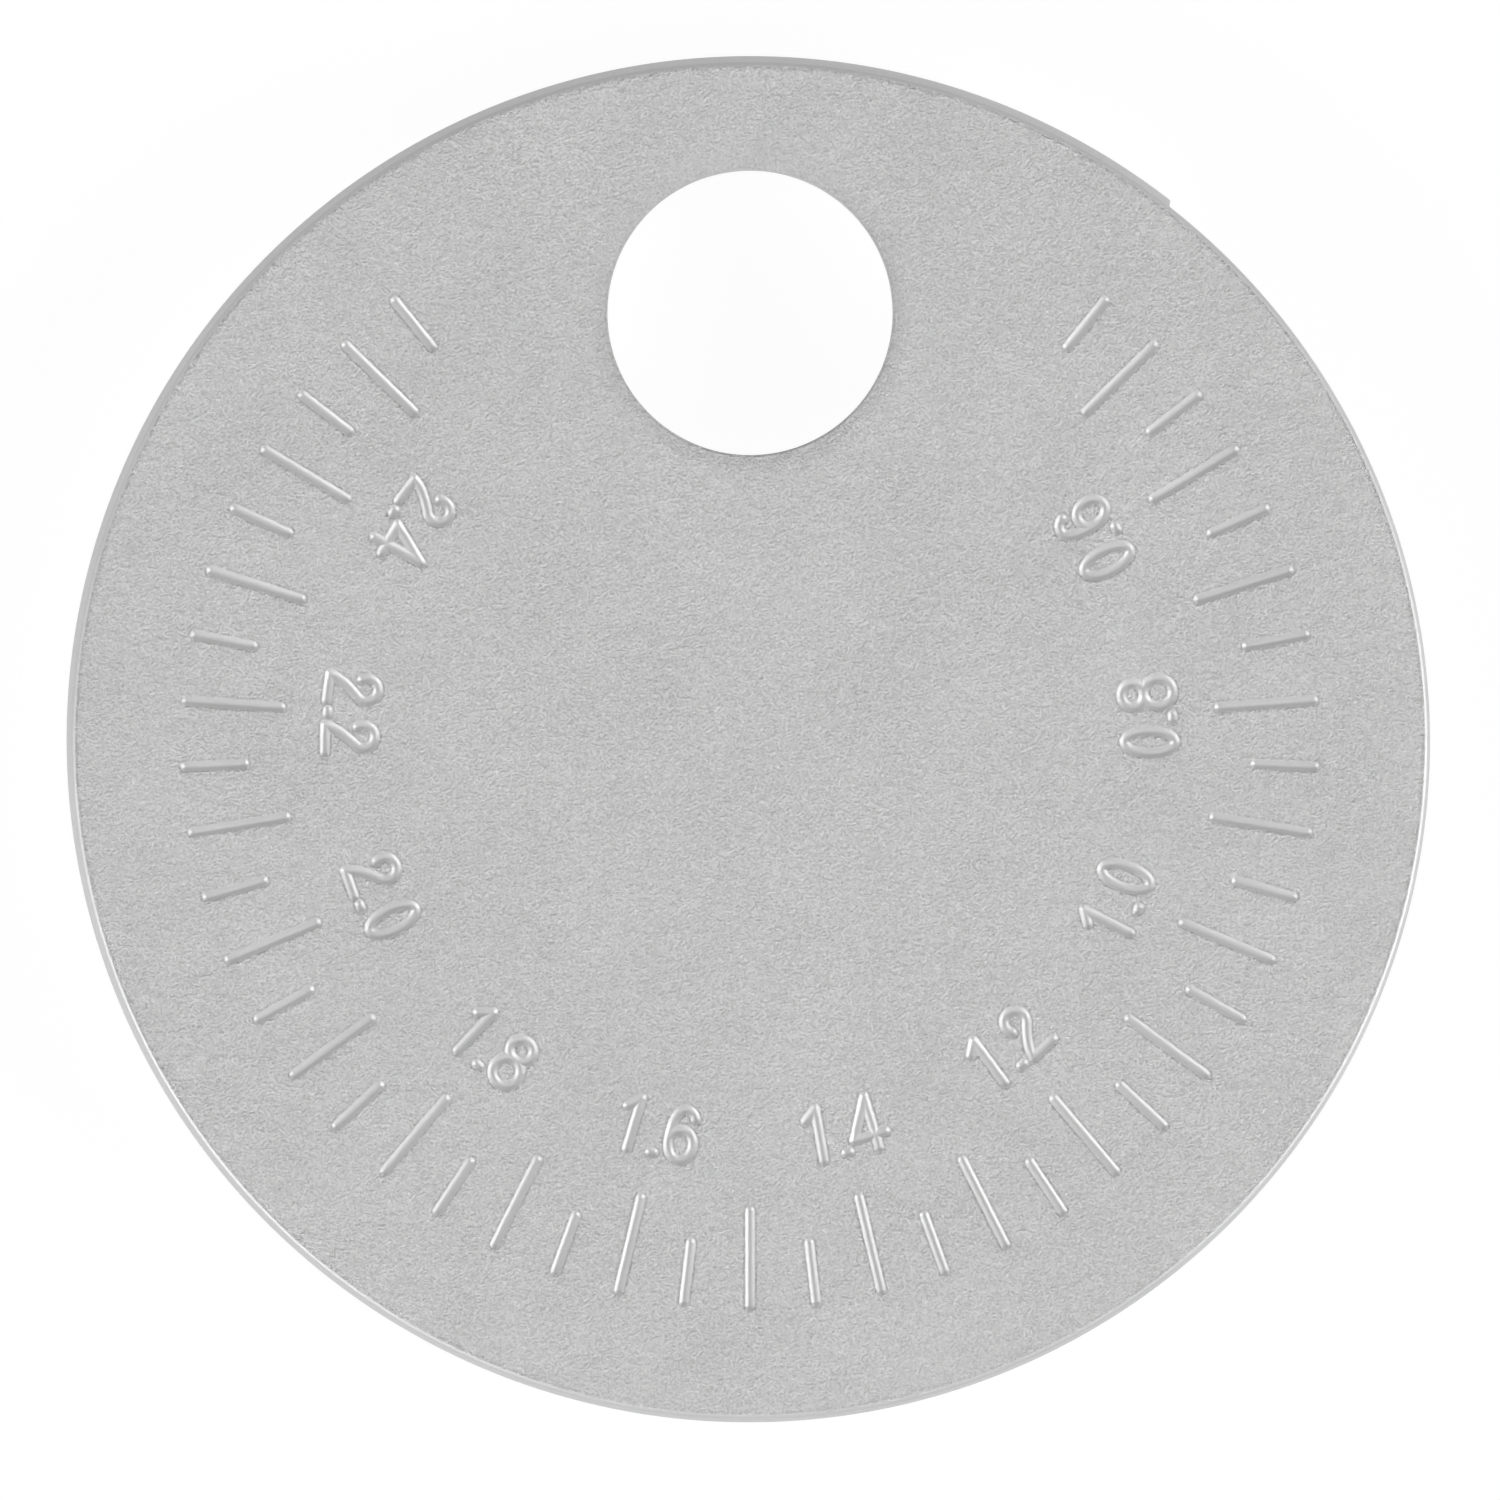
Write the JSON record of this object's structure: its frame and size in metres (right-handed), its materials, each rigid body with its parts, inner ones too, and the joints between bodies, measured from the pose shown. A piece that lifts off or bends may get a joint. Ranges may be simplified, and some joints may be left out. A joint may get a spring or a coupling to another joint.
{
  "type": "spark plug gap gauge",
  "caption": "Coin-shaped spark plug gap gauge in one casting: sunk ticks on the face, a hanging hole, and a rim flange that a helical ledge behind it makes steadily thicker.",
  "frame": {"origin": "on the flat back, at the disc's axis", "axes": "+Z out of the marked face, +Y from the disc's axis towards the hanging hole"},
  "size_m": [0.0383, 0.0383, 0.0026],
  "materials": {
    "cast_zinc": "bare zinc die casting, matt grey with a fine grain"
  },
  "bodies": {
    "root": {"gauge_disc": "cast_zinc"}
  },
  "joints": []
}
